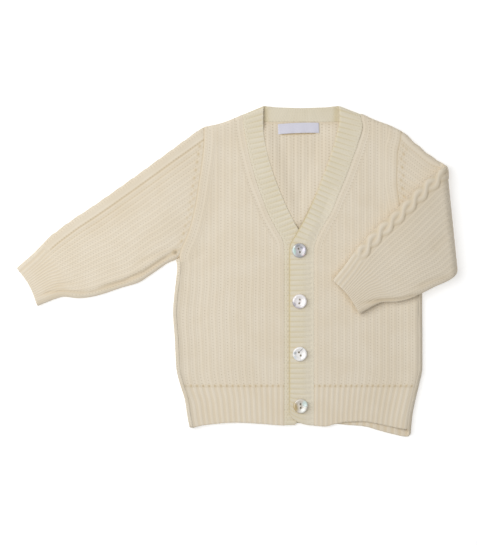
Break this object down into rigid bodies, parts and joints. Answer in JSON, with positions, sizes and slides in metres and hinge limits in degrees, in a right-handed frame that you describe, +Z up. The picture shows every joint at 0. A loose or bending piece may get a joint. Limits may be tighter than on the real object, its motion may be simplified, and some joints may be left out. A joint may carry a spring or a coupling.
{
  "type": "baby cardigan",
  "caption": "Baby's knitted V-neck cardigan laid flat, one sleeve spread and one folded across the front, with a ribbed button band and a rope cable down each sleeve.",
  "frame": {"origin": "under the middle of the garment's box, on the surface that it lies on", "axes": "+X across the garment towards the wearer's left, +Y from the hem towards the neck, +Z up from the surface"},
  "size_m": [0.4846, 0.3628, 0.019],
  "materials": {
    "wool_knit": "cream wool, half-fisherman's rib",
    "band_knit": "cream wool, firm rib",
    "mother_of_pearl": "polished mother-of-pearl",
    "label_satin": "white woven satin, blank"
  },
  "bodies": {
    "root": {"back": "wool_knit", "right_front": "wool_knit", "left_front": "wool_knit", "right_sleeve": "wool_knit", "left_sleeve": "wool_knit", "front_band": "band_knit", "button_1": "mother_of_pearl", "button_2": "mother_of_pearl", "button_3": "mother_of_pearl", "button_4": "mother_of_pearl", "neck_label": "label_satin"}
  },
  "joints": []
}
